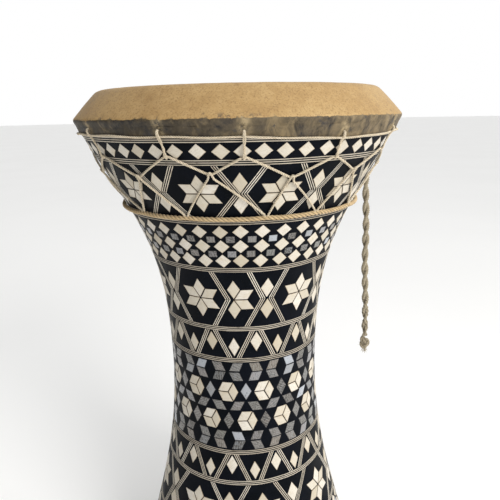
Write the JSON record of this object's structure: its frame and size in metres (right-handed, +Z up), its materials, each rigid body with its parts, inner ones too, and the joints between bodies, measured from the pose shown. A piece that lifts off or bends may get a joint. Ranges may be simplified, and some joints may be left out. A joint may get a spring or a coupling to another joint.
{
  "type": "goblet drum",
  "caption": "Goblet hand drum with an inlaid turned-wood body, a rope-laced skin head and a hanging rope tail.",
  "frame": {"origin": "centre of the underside of the foot bead, on the drum's axis", "axes": "+Z up the axis towards the playing skin; -Y towards the front; +X to the front's right"},
  "size_m": [0.2404, 0.2404, 0.43],
  "materials": {
    "turned_wood": "dark, dry, hand-turned",
    "black_ground": "ebonised veneer and black filler under a thin satin lacquer",
    "bone_inlay": "sawn bone, sanded flush, satin lacquer",
    "pearl_inlay": "grey mother-of-pearl under satin lacquer",
    "stringing": "laminated black and white veneer lines, satin lacquer",
    "skin": "dry rawhide, scraped, stained dark towards its hem",
    "lacing_twine": "waxed twisted cotton twine",
    "ring_rope": "three-strand twisted hemp rope",
    "tail_twine": "two-ply loose-twisted jute cord, weathered"
  },
  "bodies": {
    "drum": {"bowl_checker_bone": "bone_inlay", "bowl_checker_ground": "black_ground", "bowl_checker_pearl": "pearl_inlay", "bowl_cross_strings": "stringing", "bowl_cross_tiles": "bone_inlay", "bowl_shell": "turned_wood", "bowl_star_ground": "black_ground", "bowl_star_tiles": "bone_inlay", "crown_diamond_ground": "black_ground", "crown_diamond_tiles": "bone_inlay", "eyelet_ties": "lacing_twine", "foot_bead": "turned_wood", "foot_checker_bone": "bone_inlay", "foot_checker_ground": "black_ground", "foot_checker_pearl": "pearl_inlay", "foot_cross_strings": "stringing", "foot_cross_tiles": "bone_inlay", "foot_diamond_ground": "black_ground", "foot_diamond_tiles": "bone_inlay", "foot_shell": "turned_wood", "foot_star_ground": "black_ground", "foot_star_tiles": "bone_inlay", "foot_zigzag_ground": "black_ground", "foot_zigzag_strings": "stringing", "foot_zigzag_tiles": "bone_inlay", "hem_cord": "lacing_twine", "hexagon_ground": "black_ground", "hexagon_pearl_diamonds": "pearl_inlay", "hexagon_pearl_slips": "pearl_inlay", "hexagon_tiles": "bone_inlay", "lower_lacing": "lacing_twine", "lower_zigzag_ground": "black_ground", "lower_zigzag_strings": "stringing", "lower_zigzag_tiles": "bone_inlay", "neck_cross_strings": "stringing", "neck_cross_tiles": "bone_inlay", "neck_star_ground": "black_ground", "neck_star_tiles": "bone_inlay", "skin_head": "skin", "stringing_ring_01": "stringing", "stringing_ring_02": "stringing", "stringing_ring_03": "stringing", "stringing_ring_04": "stringing", "stringing_ring_05": "stringing", "stringing_ring_06": "stringing", "stringing_ring_07": "stringing", "stringing_ring_08": "stringing", "stringing_ring_09": "stringing", "stringing_ring_10": "stringing", "stringing_ring_11": "stringing", "stringing_ring_12": "stringing", "tension_ring": "ring_rope", "upper_lacing": "lacing_twine", "upper_zigzag_ground": "black_ground", "upper_zigzag_strings": "stringing", "upper_zigzag_tiles": "bone_inlay"},
    "hitch": {"tail_hitch": "tail_twine"},
    "tail": {"tail_cord": "tail_twine", "tail_end_knot": "tail_twine"}
  },
  "joints": [
    {"name": "hitch_swivel", "type": "hinge", "parent": "drum", "child": "hitch", "pos_m": [0.10619, 0.02945, 0.377], "axis": [0.9636, 0.2672, 0], "range_deg": [-50, 50]},
    {"name": "tail_swing", "type": "hinge", "parent": "hitch", "child": "tail", "pos_m": [0.10619, 0.02945, 0.377], "axis": [0.2672, -0.9636, 0], "range_deg": [-8, 75]}
  ]
}
